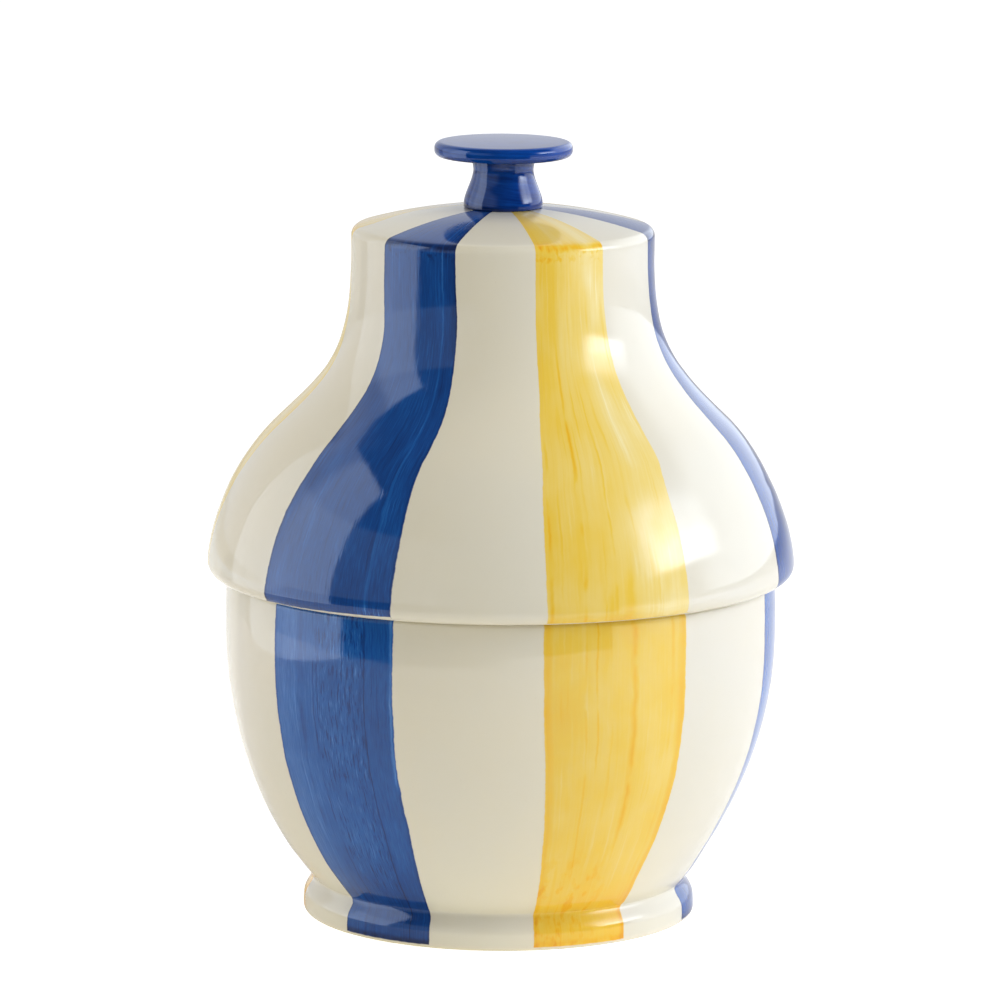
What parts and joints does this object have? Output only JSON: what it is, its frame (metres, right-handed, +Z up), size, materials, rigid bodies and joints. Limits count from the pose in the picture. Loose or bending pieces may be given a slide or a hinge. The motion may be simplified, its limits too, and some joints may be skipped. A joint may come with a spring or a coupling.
{
  "type": "lidded canister",
  "caption": "Belly-shaped glazed ceramic canister on a flared foot, with a bell-shaped lift-off lid, a locating flange and a spool-shaped knob, hand-painted in broad vertical stripes.",
  "frame": {"origin": "centre of the foot ring on the surface that the canister stands on", "axes": "+Z up along the axis that the jar and its lid are turned about, -Y towards the pictured front, +X to its right"},
  "size_m": [0.2, 0.2, 0.2649],
  "materials": {
    "striped_glaze": "glossy cream glaze over broad hand-brushed cobalt blue and yellow vertical stripes",
    "plain_glaze": "plain cream glaze, unpainted",
    "cobalt_glaze": "glossy deep cobalt blue glaze, brushed round the knob"
  },
  "bodies": {
    "jar": {"jar_bowl": "striped_glaze", "jar_foot": "striped_glaze"},
    "lid": {"lid_dome": "striped_glaze", "lid_flange": "plain_glaze", "knob_stem": "cobalt_glaze", "knob_disc": "cobalt_glaze"}
  },
  "joints": [
    {"name": "lid_lift", "type": "slide", "parent": "jar", "child": "lid", "axis": [0, 0, 1], "range_m": [0, 0.12]}
  ]
}
